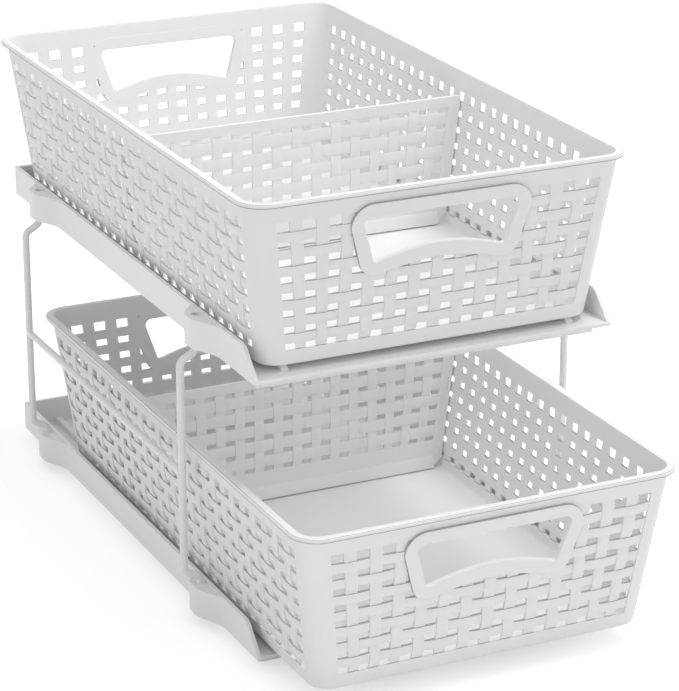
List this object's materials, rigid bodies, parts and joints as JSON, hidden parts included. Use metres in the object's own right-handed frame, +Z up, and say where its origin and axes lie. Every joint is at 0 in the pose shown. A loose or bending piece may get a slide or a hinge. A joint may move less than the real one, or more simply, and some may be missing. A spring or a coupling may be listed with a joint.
{
  "type": "pull out cabinet basket",
  "caption": "Two-tier kitchen organiser: woven-wall plastic baskets with dividers slide out of open-fronted trays held apart by cranked wire legs.",
  "frame": {"origin": "middle of the lower tray on the plane its ribs stand on", "axes": "+X to the right seen from the front, -Y towards the user, where the baskets pull out, +Z up"},
  "size_m": [0.25, 0.466, 0.2722],
  "materials": {
    "tray_plastic": "moulded white polypropylene, satin",
    "basket_plastic": "moulded white polypropylene, soft matt",
    "divider_plastic": "moulded white polypropylene, soft matt",
    "wire_coating": "steel wire with a pale powder coating"
  },
  "bodies": {
    "frame": {"lower_tray": "tray_plastic", "upper_tray": "tray_plastic", "left_rear_leg": "wire_coating", "left_front_leg": "wire_coating", "right_rear_leg": "wire_coating", "right_front_leg": "wire_coating", "left_crossbar": "wire_coating", "right_crossbar": "wire_coating"},
    "upper_basket": {"upper_basket": "basket_plastic"},
    "lower_basket": {"lower_basket": "basket_plastic"},
    "upper_divider": {"upper_divider": "divider_plastic"},
    "lower_divider": {"lower_divider": "divider_plastic"}
  },
  "joints": [
    {"name": "upper_basket_slide", "type": "slide", "parent": "frame", "child": "upper_basket", "axis": [0, -1, 0], "range_m": [0, 0.24]},
    {"name": "lower_basket_slide", "type": "slide", "parent": "frame", "child": "lower_basket", "axis": [0, -1, 0], "range_m": [-0.066, 0.174]},
    {"name": "upper_divider_lift", "type": "slide", "parent": "upper_basket", "child": "upper_divider", "axis": [0, 0, 1], "range_m": [0, 0.09]},
    {"name": "lower_divider_lift", "type": "slide", "parent": "lower_basket", "child": "lower_divider", "axis": [0, 0, 1], "range_m": [0, 0.05]}
  ]
}
